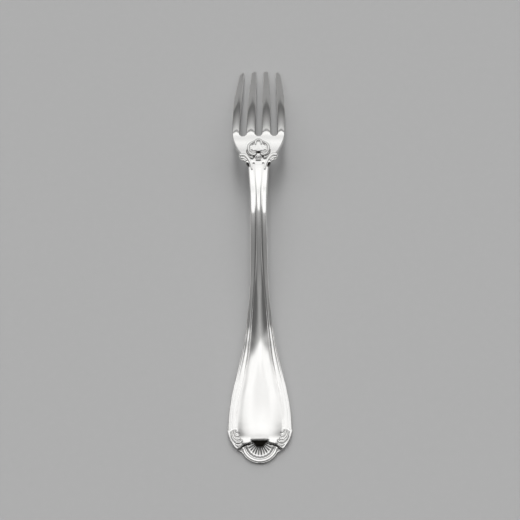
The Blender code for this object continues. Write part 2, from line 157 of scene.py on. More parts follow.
def smooth_curve(stations, at):
    """Height of a smooth curve through the stations, with no swing past them."""
    places, values = np.array(stations, float).T
    step = np.diff(places)
    rise = np.diff(values) / step
    slope = np.concatenate([rise[:1], np.zeros(len(step) - 1), rise[-1:]])
    for i in range(1, len(step)):
        if rise[i - 1] * rise[i] > 0:
            before, after = 2 * step[i] + step[i - 1], step[i] + 2 * step[i - 1]
            slope[i] = (before + after) / (before / rise[i - 1] + after / rise[i])
    at = np.asarray(at, float)
    i = np.clip(np.searchsorted(places, at) - 1, 0, len(step) - 1)
    t = np.clip((at - places[i]) / step[i], 0, 1)
    held = values[i] * (1 + 2 * t) * (1 - t) ** 2 + values[i + 1] * t * t * (3 - 2 * t)
    return held + step[i] * (slope[i] * t * (1 - t) ** 2 + slope[i + 1] * t * t * (t - 1))


BACK_STEPS = np.linspace(0, LENGTH, round(LENGTH * BACK_STEPS_PER_MM) + 1)
STEP_RISES = np.tan(np.radians(smooth_curve(BACK_RISE, (BACK_STEPS[1:] + BACK_STEPS[:-1]) / 2)))
BACK_HEIGHTS = BACK_END + np.concatenate([[0], np.cumsum(STEP_RISES * np.diff(BACK_STEPS))])


def back_height(s):
    """Height of the back along its middle."""
    return np.interp(s, BACK_STEPS, BACK_HEIGHTS)


def ease(value, low, high):
    t = np.clip((value - low) / (high - low), 0, 1)
    return t * t * (3 - 2 * t)


def quarter_round(share):
    """Height of a round edge, from 0 at the edge to 1 where the round ends."""
    return np.sqrt(1 - (1 - np.clip(share, 0, 1)) ** 2)


def half_round(share):
    """Height of a round rib across its half width."""
    return np.sqrt(np.clip(1 - share ** 2, 0, 1))


def flat_round(share):
    """Height of a flat rib with rounded sides across its half width."""
    return np.clip(1 - share ** 4, 0, 1)


def bead(share):
    """Height of a soft thread across its half width."""
    return np.clip(1 - share ** 2, 0, 1)


# Outline of the body

def half_width(s):
    s = np.asarray(s, float)
    lobe = np.sqrt(np.clip(LOBE_RADIUS ** 2 - (LOBE_RADIUS - s) ** 2, 0, None))
    return np.where(s < HALF_WIDTH[0][0], lobe, smooth_curve(HALF_WIDTH, s))


def gap_half(s):
    """Half width of a gap between tines, with its round bottom at the crotch."""
    return smooth_curve(GAP_HALF, s) * quarter_round((s - CROTCH) / GAP_HALF[0][1])


def tine_tip(tine):
    return OUTER_TIP if tine in (0, 3) else LENGTH


def tine_edges(tine, s):
    """Left and right edge of one tine, counted from the left, closing to a round tip."""
    s = np.asarray(s, float)
    outer, centre, gap = half_width(s), smooth_curve(GAP_CENTRE, s), gap_half(s)
    left, right = [(-outer, -centre - gap), (-centre + gap, -gap),
                   (gap, centre - gap), (centre + gap, outer)][tine]
    closing = half_round(np.clip((s - tine_tip(tine) + TIP_ROUND) / TIP_ROUND, 0, 1))
    middle, half = (left + right) / 2, (right - left) / 2 * closing
    return middle - half, middle + half


def outline_points():
    """Points close together all along the outline of the body, seen from above."""
    turn = np.linspace(0, math.pi / 2, OUTLINE_TURN)
    end = HALF_WIDTH[0][0] * (1 - np.cos(turn))
    root = np.concatenate([end, np.linspace(end[-1], CROTCH, OUTLINE_SIDE)])
    points = [np.stack([side * half_width(root), root], 1) for side in (-1, 1)]
    for tine in range(4):
        round_from = tine_tip(tine) - TIP_ROUND
        bottom = CROTCH + GAP_HALF[0][1] * (1 - np.cos(turn))
        along = np.concatenate([bottom, np.linspace(bottom[-1], round_from, OUTLINE_TINE),
                                round_from + TIP_ROUND * np.sin(turn)])
        points += [np.stack([edge, along], 1) for edge in tine_edges(tine, along)]
    return np.concatenate(points)


def outline_tree():
    points = outline_points()
    tree = kdtree.KDTree(len(points))
    for i, (x, s) in enumerate(points):
        tree.insert((x, s, 0), i)
    tree.balance()
    return tree


OUTLINE = outline_tree()


def edge_distance(x, s):
    """How far each place lies inside the outline of the body, and 0 outside it."""
    x, s = np.broadcast_arrays(np.asarray(x, float), np.asarray(s, float))
    found = [OUTLINE.find((a, b, 0))[2] for a, b in zip(x.ravel(), s.ravel())]
    return np.where(np.abs(x) <= half_width(s), np.reshape(found, x.shape), 0)


# Faces of the body

def front_height(s):
    """Underside of the body along its middle, flat where the fork rests on the table."""
    return np.clip(back_height(s) - smooth_curve(THICKNESS, s), 0, None)


def edge_height(s):
    share = smooth_curve(EDGE_SHARE, s)
    return (1 - share) * front_height(s) + share * back_height(s)


def edge_slant(s):
    """How much longer a way straight across is than the way square to the edge."""
    return np.hypot(1, (half_width(s + SLANT_STEP) - half_width(s - SLANT_STEP)) / (2 * SLANT_STEP))


def thread_band(s):
    """Width of the band of threads, straight across."""
    return smooth_curve(THREAD_BAND, s) * edge_slant(np.maximum(s, SLANT_FROM))


def off_panel_middle(x, s):
    """Place across the panel: 0 along its middle, 1 at its foot beside the threads."""
    return np.clip(np.abs(x) / np.clip(half_width(s) - thread_band(s), LEAST_HALF, None), 0, 1)


def thread_height(s, edge):
    """Height of the threads: three fine ones along the handle, one broad band along the stem."""
    across = edge / smooth_curve(THREAD_BAND, s)
    handle = ease(half_width(s), HANDLE_FROM, HANDLE_WHOLE)
    threads = sum(height * bead((across - place) / half) for place, half, height in HANDLE_THREADS)
    threads = threads * smooth_curve(THREAD_SHARE, s)
    place, half, height = STEM_BAND
    band = height * bead(((across - place) / half) ** 2) * smooth_curve(STEM_SHARE, s)
    return (handle * threads + (1 - handle) * band) * ease(s, THREADS_END, THREADS_WHOLE)


def handle_face(x, s, edge):
    """Back of the handle and stem: a rim, the threads and the pillowed panel."""
    pillow = smooth_curve(PILLOW, s)
    level = back_height(s) - pillow - PLATE_CROWN * (x / CROWN_HALF) ** 2
    rim = edge_height(s) + (level - edge_height(s)) * quarter_round(edge / RIM_ROUND)
    ending = np.clip((PANEL_END + PANEL_ROUND - s) / PANEL_ROUND, 0, None)
    horn = ending / (1 + (ending / HORN_FLAT) ** CORNER_POWER) ** (1 / CORNER_POWER)
    ending = ending + (horn - ending) * ease(np.abs(x), HORN_INNER, HORN_OUTER)
    across = off_panel_middle(x, s) ** (smooth_curve(PILLOW_POWER, s) / 2)
    swell = bead((across ** CORNER_POWER + ending ** CORNER_POWER) ** (1 / CORNER_POWER))
    soft = smooth_curve(SOFT_FOOT, s)
    swell = (1 - soft) * swell + soft * ease(swell, 0, 1)
    plate = rim + thread_height(s, edge) + pillow * swell
    return np.minimum(plate, shell_seat(x, s, plate))


def head_face(x, s, edge):
    """Back of the root and tines: plain and crowned."""
    round_edge = quarter_round(edge / BACK_ROUND)
    off_middle = x / np.clip(half_width(s), LEAST_HALF, None)
    crown = ROOT_CROWN * off_middle ** 2
    tine_crown = EDGE_CROWN * ease(s, CROWN_STARTS, CROWN_WHOLE)
    crown = crown + tine_crown * np.clip(1 - edge / CROWN_REACH, 0, 1) ** CROWN_POWER
    return edge_height(s) + (back_height(s) - edge_height(s) - crown) * round_edge


def upper_face(x, s, edge):
    head = ease(s, HEAD_STARTS, HEAD_WHOLE)
    return head * head_face(x, s, edge) + (1 - head) * handle_face(x, s, edge)


def lower_face(s, edge):
    """Front of the body, which faces the table."""
    level = edge_height(s)
    return level - (level - front_height(s)) * quarter_round(edge / smooth_curve(FRONT_ROUND, s))


def back_of_body(x, s):
    return upper_face(x, s, edge_distance(x, s))


# Meshes

def make_object(name, points, faces, hollow, crisp=None):
    """A named object from points in millimetres; hollow says how dark each point is made, with tarnish in
    some hollows and painted shade in others.
    """
    mesh = bpy.data.meshes.new(name)
    places = np.array(points, float)
    places[:, 1] -= LENGTH / 2
    mesh.from_pydata((places * MM).tolist(), [], faces)
    shape = bmesh.new()
    shape.from_mesh(mesh)
    bmesh.ops.recalc_face_normals(shape, faces=shape.faces)
    shape.to_mesh(mesh)
    shape.free()
    mesh.shade_smooth()
    if crisp:
        mesh.set_sharp_from_angle(angle=math.radians(crisp))
    depth = mesh.attributes.new("hollow", "FLOAT", "POINT")
    depth.data.foreach_set("value", np.asarray(hollow, np.float32))
    obj = bpy.data.objects.new(name, mesh)
    bpy.context.scene.collection.objects.link(obj)
    return obj


def tine_columns(left, right):
    spread = -np.cos(np.linspace(0, math.pi, COLUMNS_PER_TINE + 1))
    return (left + right) / 2 + (right - left) / 2 * spread


def columns_across(s):
    """Places of the columns of points across the body, from the left edge to the right."""
    width = float(half_width(s))
    band = min(float(thread_band(s)), WIDEST_BAND * width)
    threads = band * np.linspace(0, 1, THREAD_COLUMNS + 1) ** THREAD_CROWDING
    panel = band + (width - band) * np.linspace(0, 1, 2 * COLUMNS_PER_TINE - THREAD_COLUMNS + 1)[1:]
    inward = np.concatenate([threads, panel])
    handle = np.concatenate([inward - width, (width - inward)[-2::-1]])
    centre = float(smooth_curve(GAP_CENTRE, s))
    bounds = [-width, -centre, 0.0, centre, width]
    tines = [tine_columns(low, high)[:-1] for low, high in zip(bounds, bounds[1:])]
    head = np.concatenate([*tines, [width]])
    turn = ease(s, TINE_COLUMNS_FROM, TINE_COLUMNS_WHOLE)
    return handle * (1 - turn) + head * turn


def body_rows():
    turns = np.linspace(FIRST_TURN, math.pi / 2, END_ROWS)[:-1]
    runs = [np.arange(low, high - step / 2, step) for low, high, step in ROW_RUNS]
    return np.concatenate([HALF_WIDTH[0][0] * (1 - np.cos(turns)), *runs, [CROTCH]])


def tine_rows(tine):
    tip = tine_tip(tine)
    turns = np.linspace(0, math.pi / 2, CROTCH_ROWS + 1)[1:]
    bottom = CROTCH + GAP_HALF[0][1] * (1 - np.cos(turns))
    count = round((tip - TIP_ROUND - bottom[-1]) / TINE_ROW)
    along = np.linspace(bottom[-1], tip - TIP_ROUND, count)[1:]
    round_tip = tip - TIP_ROUND * (1 - np.sin(np.linspace(0, LAST_TURN, TIP_ROWS + 1)[1:]))
    return np.concatenate([bottom, along, round_tip])


class Sheet:
    """Points and faces of the body while its rows are laid out."""

    def __init__(self):
        self.points, self.faces, self.hollow = [], [], []

    def add(self, x, s, z, hollow):
        self.points.append((x, s, z))
        self.hollow.append(hollow)
        return len(self.points) - 1

    def row(self, x, s, shared):
        """One row over the back and one over the front, joined at the shared columns."""
        s = np.full(len(x), s)
        edge = edge_distance(x, s)
        edge[list(shared)] = 0
        back_z, front_z = upper_face(x, s, edge) - cartouche_seat(x, s), lower_face(s, edge)
        # How dark each point is made, by tarnish and by painted shade
        depth = grooves_and_painted_shade(x, s, edge)
        back = [self.add(*values) for values in zip(x, s, back_z, depth)]
        front = [back[c] if c in shared else self.add(x[c], s[c], front_z[c], 0.0) for c in range(len(x))]
        return back, front

    def join(self, first, second):
        for side in (0, 1):
            for c in range(len(first[side]) - 1):
                corners = (first[side][c], first[side][c + 1], second[side][c + 1], second[side][c])
                self.faces.append(corners if side else corners[::-1])

    def close(self, row, x, s):
        """Close a row to one point at the end of the handle or of a tine."""
        point = self.add(x, s, float(edge_height(s)), 0.0)
        for side in (0, 1):
            for c in range(len(row[side]) - 1):
                self.faces.append((row[side][c], row[side][c + 1], point))


def panel_shade(x, s):
    """Painted shade at the end of the panel and in its corners."""
    corner = smooth_curve(CORNER_SHADE, s) * ease(off_panel_middle(x, s), CORNER_FROM, 1)
    past_foot = np.abs(x) - half_width(s) + thread_band(s)
    bare_horn = ease(np.abs(x), *BARE_HORN_ACROSS) * (1 - ease(s, *BARE_HORN_ALONG))
    middle = smooth_curve(PANEL_SHADE, s) * (1 - bare_horn)
    return (middle + corner) * (1 - ease(past_foot, 0, FOOT_FADES))


def grooves_and_painted_shade(x, s, edge):
    """How dark a place is made: tarnish in the grooves beside the panel, and painted shade on the walls
    between the tines, under the leaves and at the end of the panel.
    """
    low = np.exp(-(thread_height(s, edge) / THREAD_FOOT) ** 2)
    by_panel = np.exp(-((1 - off_panel_middle(x, s)) / PANEL_FOOT) ** 2)
    grooves = smooth_curve(GROOVE_TARNISH, s) * (1 - ease(s, *GROOVES_END))
    grooves = grooves * ease(edge, *GROOVE_INWARD) * low * by_panel
    # Painted shade on the walls of the gaps between the tines
    walls = WALL_PAINTED_SHADE * ease(s, *WALLS_START) * (1 - ease(s, *WALLS_END))
    walls = walls * (1 - ease(edge, 0, WALL_WIDTH))
    # Painted shade in the dark place under each leaf
    along = (s - UNDER_LEAF[0]) / UNDER_LEAF_HALF[0]
    inward = (edge - UNDER_LEAF[1]) / UNDER_LEAF_HALF[1]
    under_leaf = 1 - ease(np.hypot(along, inward), UNDER_LEAF_SOFT, 1)
    return np.maximum.reduce([grooves, walls, under_leaf, panel_shade(x, s)])


def make_body():
    sheet = Sheet()
    last_column = 4 * COLUMNS_PER_TINE
    row = None
    for s in body_rows():
        at_crotch = s == CROTCH
        shared = range(0, last_column + 1, COLUMNS_PER_TINE) if at_crotch else (0, last_column)
        new_row = sheet.row(columns_across(s), s, shared)
        if row:
            sheet.join(row, new_row)
        else:
            sheet.close(new_row, 0.0, 0.0)
        row = new_row
    for tine in range(4):
        first = tine * COLUMNS_PER_TINE
        tine_row = tuple(side[first:first + COLUMNS_PER_TINE + 1] for side in row)
        for s in tine_rows(tine):
            new_row = sheet.row(tine_columns(*tine_edges(tine, s)), s, (0, COLUMNS_PER_TINE))
            sheet.join(tine_row, new_row)
            tine_row = new_row
        left, right = tine_edges(tine, tine_tip(tine))
        sheet.close(tine_row, float(left + right) / 2, tine_tip(tine))
    return make_object("polished_body", sheet.points, sheet.faces, sheet.hollow)


# Ornaments

RELIEF_SINK, RELIEF_LIFT, CRISP_ANGLE = 0.4, 0.01, 60


def make_relief(name, outline, centre, face, rings):
    """A relief that grows out of the back: face(x, s) gives its height and how dark each place is made,
    with tarnish in some places and painted shade in others.
    """
    outline, centre = np.array(outline, float), np.array(centre, float)
    count = len(outline)
    shares = np.linspace(0, 1, rings + 1)[1:]
    places = np.concatenate([centre[None]] + [centre + (outline - centre) * share for share in shares])
    z, hollow = face(places[:, 0], places[:, 1])
    foot = z[-count:] - RELIEF_SINK
    points = np.concatenate([np.column_stack([places, z]), np.column_stack([outline, foot]),
                             np.column_stack([centre[None], [foot.min()]])])
    hollow = np.concatenate([hollow, hollow[-count:], [1.0]])
    faces = []
    for i in range(count):
        j = (i + 1) % count
        faces.append((0, 1 + i, 1 + j))
        for ring in range(rings):
            low, high = 1 + ring * count, 1 + (ring + 1) * count
            faces.append((low + i, high + i, high + j, low + j))
        foot_start = 1 + rings * count
        faces.append((foot_start + i, foot_start + count, foot_start + j))
    return make_object(name, points, faces, hollow, CRISP_ANGLE)


def line_distance(x, s, line):
    """Distance from each place to a line of points, and how far along the line that is, from 0 to 1."""
    line = np.array(line, float)
    start, run = line[:-1], np.diff(line, axis=0)
    place = np.stack([x, s], -1)[:, None, :] - start[None]
    t = np.clip((place * run).sum(-1) / (run ** 2).sum(-1), 0, 1)
    gap = np.hypot(*np.moveaxis(place - t[..., None] * run, -1, 0))
    nearest = gap.argmin(1)
    pick = np.arange(len(x))
    return gap[pick, nearest], (nearest + t[pick, nearest]) / len(run)


def arc(centre, radii, first, last, count):
    """Points along an oval arc, by angle in degrees from straight towards the tines, clockwise."""
    turn = np.radians(np.linspace(first, last, count))
    return np.column_stack([centre[0] + radii[0] * np.sin(turn), centre[1] + radii[1] * np.cos(turn)])


def mirrored(points):
    return [(-x, s) for x, s in points]


# Shell

HINGE_AT, HINGE_HALF = 7.15, 2.5
SHELL_SIDE = [(HINGE_HALF, 6.4), (3.3, 6.1), (4.15, 5.9), (5.15, 5.6), (5.9, 5.15), (6.6, 4.5)]
SHELL_RADIUS, SHELL_FOCUS = 6.15, (0.0, 7.2)
# Outline of the piece: the turn of its rim in degrees, and its corners on the right
RIM_TURN, RIM_POINTS, CORNER_POINTS = (242, 118), 121, 15
SHELL_CORNERS = [(6.7, 5.2), (5.6, 6.6), (4.0, 7.3), (3.6, 8.0)]
SHELL_CENTRE, SHELL_RINGS = (0.0, 4.6), 60
# Fall of the fan below the hinge: (distance from the hinge towards the handle end, depth)
FAN_FALL = [(0, 0.0), (1.25, 0.32), (2.5, 0.56), (3.5, 0.66), (4.5, 0.70), (5, 0.71), (8, 0.71)]
# Lobes and lips of the rim: (distance from its edge, height over the fan)
RIM_LIPS = [(0, -0.35), (0.25, 0.02), (0.55, 0.08), (0.85, 0.06), (1.05, 0.01), (1.27, 0.05), (1.5, 0.01),
            (1.85, 0.09), (2.3, 0.13), (2.75, 0.08), (3.2, 0.0), (9, 0.0)]
RIM_LINES = (1.05, 1.5)
LINE_HALF, LINE_TARNISH = 0.16, 0.28
# Wall round the fan, the hollow under it, and how far the wall stays below the plate
WALL_STEEP, SEAT_DEPTH, UNDER_PLATE = 3.0, 0.3, 0.02
INSIDE_SOFT = 0.8
# Ribs: their count, spread in degrees and depth, the flutes between them, and the scallops
RIB_COUNT, RIB_SPREAD, RIB_DEPTH = 11, 66.0, 0.22
FLUTES_START, FLUTES_END = (0.7, 2.0), (2.2, 2.7)
SCALLOP, SCALLOP_LEVEL, SCALLOP_FROM = 0.22, 0.6, (1.2, 1.9)
# Tarnish in the flutes, with uneven streaks of painted shade that run down them from the hinge
FLUTE_TARNISH, STREAK_LENGTH, STREAKS_FROM = 0.75, 2.1, (0.6, 2.0)
STREAK_UNEVEN, STREAK_TURNS, STREAK_START = 0.3, 13.0, 0.6
# Painted shade in the recess under the hinge: its depth in the middle and what it loses, and its soft edges
RECESS_DEPTH, RECESS_NARROWS, RECESS_SOFT = (1.9, 1.3), (0.8, 2.4), (-0.4, 0.5)
RECESS_SIDE, RECESS_TOP = (HINGE_HALF - 0.05, HINGE_HALF + 0.2), (0.2, 0.3)
# Painted shade in the seam under each upper side of the shell: its edges, and its ends across the fork
SEAM_RISES, SEAM_FADES, SEAM_BELOW = (-0.4, -0.25), (0.15, 0.28), 0.3
SEAM_STARTS, SEAM_ENDS = (2.7, 3.3), (5.9, 6.6)
# Tarnish in the outermost ribs, by their turn in degrees and the distance from the rim
WING_TARNISH, WING_TURN, WING_INWARD = 0.4, (48.0, 66.0), (1.3, 2.0)


def fan_height(s):
    """Smooth bowl of the shell, without its ribs."""
    top = back_height(HINGE_AT) - smooth_curve(PILLOW, HINGE_AT)
    return top - smooth_curve(FAN_FALL, HINGE_AT - s)


def beyond_shell(x, s):
    """How far a place lies outside the upper sides of the shell, under 0 inside it."""
    half = np.abs(x)
    line = [(0, HINGE_AT), (HINGE_HALF, HINGE_AT)] + SHELL_SIDE
    gap, _ = line_distance(half.ravel(), np.asarray(s, float).ravel(), line)
    side_x, side_s = np.array(SHELL_SIDE).T
    inside = np.where(half < HINGE_HALF, s < HINGE_AT, s < np.interp(half, side_x, side_s))
    return np.where(inside, -1, 1) * gap.reshape(half.shape)


def shell_seat(x, s, plate):
    """The hollow that the shell fills, cut into the end of the plate."""
    x, s = np.broadcast_arrays(np.asarray(x, float), np.asarray(s, float))
    near = s < HINGE_AT + 1
    seat = np.array(plate, float)
    if near.any():
        out = beyond_shell(x[near], s[near])
        seat[near] = fan_height(s[near]) - SEAT_DEPTH + WALL_STEEP * np.clip(out, 0, None)
    return seat


def fan_place(x, s):
    """Distance and turn from the focus of the ribs, and the rib: 1 on a crest, 0 in a flute."""
    dx, ds = x - SHELL_FOCUS[0], SHELL_FOCUS[1] - s
    turn = np.arctan2(dx, ds)
    ribs = np.abs(np.cos(turn / math.radians(RIB_SPREAD) * RIB_COUNT * math.pi / 2))
    return np.hypot(dx, ds), turn, ribs


def hinge_recess(x, s, beyond, streaks):
    """Painted shade in the recess under the hinge, which runs out in streaks along the flutes."""
    deep = RECESS_DEPTH[0] - RECESS_DEPTH[1] * ease(np.abs(x), *RECESS_NARROWS)
    recess = 1 - ease(HINGE_AT - s - streaks - deep, *RECESS_SOFT)
    return recess * (1 - ease(np.abs(x), *RECESS_SIDE)) * (1 - ease(beyond, *RECESS_TOP))


def shell_seam(x, s, beyond):
    """Painted shade: the dark line under each upper side of the shell."""
    line = ease(beyond, *SEAM_RISES) * (1 - ease(beyond, *SEAM_FADES)) * (s < HINGE_AT - SEAM_BELOW)
    return line * ease(np.abs(x), *SEAM_STARTS) * (1 - ease(np.abs(x), *SEAM_ENDS))


def shell_face(x, s):
    """Height and darkening of the shell: a ribbed fan under the hinge, inside a lipped rim. The darkening
    is tarnish in the flutes, the wings and the rim lines, and painted shade in the recess and the seams.
    """
    out, turn, ribs = fan_place(x, s)
    beyond = beyond_shell(x, s)
    inside = ease(-beyond, 0, INSIDE_SOFT)
    from_rim = LOBE_RADIUS - np.hypot(x, s - LOBE_RADIUS)
    lobed = from_rim + SCALLOP * (ribs - SCALLOP_LEVEL) * ease(from_rim, *SCALLOP_FROM)
    flutes = ease(out, *FLUTES_START) * ease(lobed, *FLUTES_END) * (1 - ribs) * inside
    fan = fan_height(s) + smooth_curve(RIM_LIPS, lobed) * inside - RIB_DEPTH * flutes
    wall = np.minimum(fan + WALL_STEEP * np.clip(beyond, 0, None), back_of_body(x, s) - UNDER_PLATE)
    uneven = 1 + STREAK_UNEVEN * np.sin(STREAK_TURNS * turn + STREAK_START)
    streaks = STREAK_LENGTH * uneven * (1 - ribs) * ease(out, *STREAKS_FROM)
    lines = sum(bead(np.clip(np.abs(lobed - place) / LINE_HALF, 0, 1)) for place in RIM_LINES)
    wing = WING_TARNISH * ease(np.degrees(np.abs(turn)), *WING_TURN) * ease(lobed, *WING_INWARD)
    # Tarnish in the flutes, the wings and the rim lines; painted shade in the recess under the hinge and in
    # the seams
    tarnish_and_shade = [FLUTE_TARNISH * uneven * flutes, wing, LINE_TARNISH * lines * inside,
               hinge_recess(x, s, beyond, streaks), shell_seam(x, s, beyond)]
    return np.where(beyond > 0, wall, fan), np.maximum.reduce(tarnish_and_shade)


def make_shell():
    rim = arc((0, LOBE_RADIUS), (SHELL_RADIUS, SHELL_RADIUS), *RIM_TURN, RIM_POINTS)
    corners = np.array([rim[-1], *SHELL_CORNERS])
    corners = np.concatenate([corners, mirrored(corners[::-1])])
    edges = [np.linspace(a, b, CORNER_POINTS)[1:] for a, b in zip(corners, corners[1:])]
    outline = np.concatenate([rim, *edges])[:-1]
    return make_relief("scallop_shell", outline, SHELL_CENTRE, shell_face, SHELL_RINGS)


# Scrolls beside the shell

GROOVE_WIDE, GROOVE_LEVEL, GROOVE_DEEP = 0.2, 0.08, 0.12
STEPS_PER_POINT = 8
SCROLL_EYE, SCROLL_REACH, SCROLL_TARNISH = (7.7, 8.1), 3.4, 0.4
# How far a scroll keeps from the edge and from the shell, and where its relief fades
SCROLL_MARGIN, SHELL_CLEAR = 0.3, 0.75
SCROLL_FADES, SCROLL_BORDER = (0.7, 0.98), (0.35, 1.1)
SCROLL_POINTS, SCROLL_STEPS, SCROLL_RINGS = 120, 63, 48
# Ridges: (points, half widths at both ends, height, tarnish beside it at both ends)
SCROLL_RIDGES = [([(9.55, 10.2), (9.25, 8.5), (8.5, 7.2), (7.5, 6.55), (6.5, 6.6), (6.0, 7.1)],
                  (0.2, 0.4), 0.28, (0.5, 1.0)),
                 ([(9.0, 10.6), (8.7, 9.1), (8.15, 8.15), (7.35, 7.65), (6.7, 7.8)],
                  (0.2, 0.42), 0.3, (0.5, 1.0)),
                 ([(8.5, 10.8), (8.2, 9.6), (7.55, 8.8), (7.0, 8.8)], (0.18, 0.38), 0.26, (0.5, 1.0)),
                 ([(8.0, 11.0), (7.5, 10.1), (6.9, 10.0)], (0.16, 0.34), 0.22, (0.5, 1.0)),
                 ([(8.2, 6.0), (7.3, 5.45), (6.3, 5.55), (5.3, 6.3)], (0.24, 0.3), 0.2, (1.0, 1.0))]


def ridge_relief(x, s, ridges, domes=(), pits=(), wide=GROOVE_WIDE):
    """Height and darkening of flat ridges in their grooves, of domes and of the pits between: partly
    tarnish and partly painted shade beside the ridges, and painted shade in the pits.
    """
    relief, groove = np.zeros(x.shape), np.zeros(x.shape)
    for line, halves, height, darks in ridges:
        gap, along = line_distance(x, s, line)
        half, dark = np.interp(along, (0, 1), halves), np.interp(along, (0, 1), darks)
        relief = np.maximum(relief, height * flat_round(gap / half))
        groove = np.maximum(groove, dark * np.exp(-(np.clip(gap - half, 0, None) / wide) ** 2))
    for line, halves, height in domes:
        gap, along = line_distance(x, s, line)
        relief = np.maximum(relief, height * bead(gap / np.interp(along, (0, 1), halves)))
    groove = groove * np.exp(-(relief / GROOVE_LEVEL) ** 2)
    relief = relief - GROOVE_DEEP * groove
    # The pits are darkened with painted shade
    for line, half, depth, dark in pits:
        sunk = bead(line_distance(x, s, line)[0] / half)
        relief = relief * (1 - sunk) - depth * sunk
        groove = np.maximum(groove, dark * sunk)
    return relief, groove


def flowing(points):
    """A smooth line through a few points."""
    x, s = np.array(points, float).T
    at = np.linspace(0, len(points) - 1, STEPS_PER_POINT * len(points))
    steps = range(len(points))
    return np.column_stack([smooth_curve(list(zip(steps, x)), at), smooth_curve(list(zip(steps, s)), at)])


def scroll_outline():
    """Outline of the right scroll: a round about its eye, cut off by the edge and the shell."""
    reach = np.linspace(0, SCROLL_REACH, SCROLL_STEPS)[1:]
    outline = []
    for turn in np.linspace(0, 2 * math.pi, SCROLL_POINTS, endpoint=False):
        line = np.array(SCROLL_EYE) + reach[:, None] * (math.cos(turn), math.sin(turn))
        x, s = line.T
        clear = (edge_distance(x, s) > SCROLL_MARGIN) & (beyond_shell(x, s) > SHELL_CLEAR)
        outline.append(line[-1] if clear.all() else line[max(int(clear.argmin()) - 1, 0)])
    return np.array(outline)


def make_scroll(name, side):
    """A scroll of nested lobes that curl in from the edge to the shell."""
    ridges = [(flowing(line), *rest) for line, *rest in SCROLL_RIDGES]

    def face(x, s):
        out = np.hypot(side * x - SCROLL_EYE[0], s - SCROLL_EYE[1]) / SCROLL_REACH
        relief, groove = ridge_relief(side * x, s, ridges)
        whole = (1 - ease(out, *SCROLL_FADES)) * ease(edge_distance(x, s), *SCROLL_BORDER)
        relief = np.clip(relief, 0, None) * whole
        # Tarnish in the scroll's grooves, and the painted shade at the end of the panel where the scroll
        # lies over it
        shade = np.maximum(SCROLL_TARNISH * groove * whole, panel_shade(x, s))
        return back_of_body(x, s) + relief + RELIEF_LIFT, shade

    centre = (side * SCROLL_EYE[0], SCROLL_EYE[1])
    return make_relief(name, scroll_outline() * (side, 1), centre, face, SCROLL_RINGS)


# Cartouche at the neck

CARTOUCHE_CENTRE, CARTOUCHE_RADII, CARTOUCHE_POWER = (0.0, 106.15), (4.5, 5.55), 2.6
# Depth of its seat in the body, and how softly the seat and the relief begin inside the outline
CARTOUCHE_SEAT, SEAT_BEGINS, FACE_BEGINS = 0.4, (0.03, 0.1), (0.0, 0.06)
CARTOUCHE_POINTS, CARTOUCHE_RINGS = 160, 64
BORDER = [(1.3, 110.2), (2.1, 109.65), (2.85, 109.05), (3.35, 108.2), (3.5, 107.2), (3.35, 106.2),
          (2.9, 105.3), (2.25, 104.7), (1.6, 104.5), (1.1, 104.8)]


def both_sides(half):
    """The right half of a pattern and its mirror image."""
    return half + [(mirrored(line), *rest) for line, *rest in half]


def cartouche_lines():
    """Ridges of the cartouche, in the form of the scroll's ridges."""
    crest = [(arc((0, 109.6), (1.0, 1.3), -115, 115, 18), (0.34, 0.34), 0.22, (0.3, 0.3)),
             ([(-0.75, 102.7), (0.75, 102.7)], (0.24, 0.24), 0.1, (0.0, 0.0))]
    half = [(flowing(BORDER), (0.3, 0.42), 0.3, (0.1, 0.8)),
            (arc((0.62, 103.6), (0.42, 0.38), -150, 150, 12), (0.2, 0.2), 0.22, (0.5, 0.5)),
            (flowing([(3.2, 104.0), (2.65, 103.65), (2.0, 103.35)]), (0.26, 0.4), 0.24, (0.5, 0.6))]
    return crest + both_sides(half)


def cartouche_domes():
    """Lobes of the leaf in the cartouche: (points, half widths, height)."""
    side = [(flowing([(1.9, 106.95), (2.25, 107.25), (2.5, 107.7)]), (0.75, 0.75), 0.12)]
    return [([(0, 106.7), (0, 109.5)], (1.7, 0.75), 0.2)] + both_sides(side)


def cartouche_pits():
    """Pits between the ridges: (points, half width, depth, painted shade)."""
    middle = [([(-0.6, 105.5), (0.6, 105.5)], 0.5, 0.3, 1.0),
              ([(-0.75, 102.2), (0.75, 102.2)], 0.18, 0.2, 0.6)]
    half = [([(1.8, 109.0), (2.1, 108.85)], 0.34, 0.2, 0.5),
            ([(1.4, 103.8), (1.7, 103.6)], 0.36, 0.25, 1.0),
            (flowing([(0.8, 105.55), (1.7, 105.75), (2.6, 106.1)]), 0.62, 0.12, 0.5),
            ([(2.1, 102.9), (2.65, 103.0)], 0.24, 0.2, 0.7),
            ([(1.6, 101.1), (1.95, 100.9)], 0.36, 0.14, 0.45),
            (flowing([(4.05, 106.5), (4.0, 105.5), (3.4, 104.6), (2.5, 104.0)]), 0.22, 0.2, 0.85)]
    return middle + both_sides(half)


def within_cartouche(x, s):
    """Share of the way in from the outline of the cartouche, under 0 outside it."""
    across = np.abs(x - CARTOUCHE_CENTRE[0]) / CARTOUCHE_RADII[0]
    along = np.abs(s - CARTOUCHE_CENTRE[1]) / CARTOUCHE_RADII[1]
    return 1 - (across ** CARTOUCHE_POWER + along ** CARTOUCHE_POWER) ** (1 / CARTOUCHE_POWER)


def cartouche_seat(x, s):
    """Depth of the hollow in the body that the cartouche sits in."""
    return CARTOUCHE_SEAT * ease(within_cartouche(x, s), *SEAT_BEGINS)


def cartouche_face(x, s):
    relief, groove = ridge_relief(x, s, cartouche_lines(), cartouche_domes(), cartouche_pits())
    whole = ease(within_cartouche(x, s), *FACE_BEGINS)
    return back_of_body(x, s) + relief * whole + RELIEF_LIFT, groove * whole


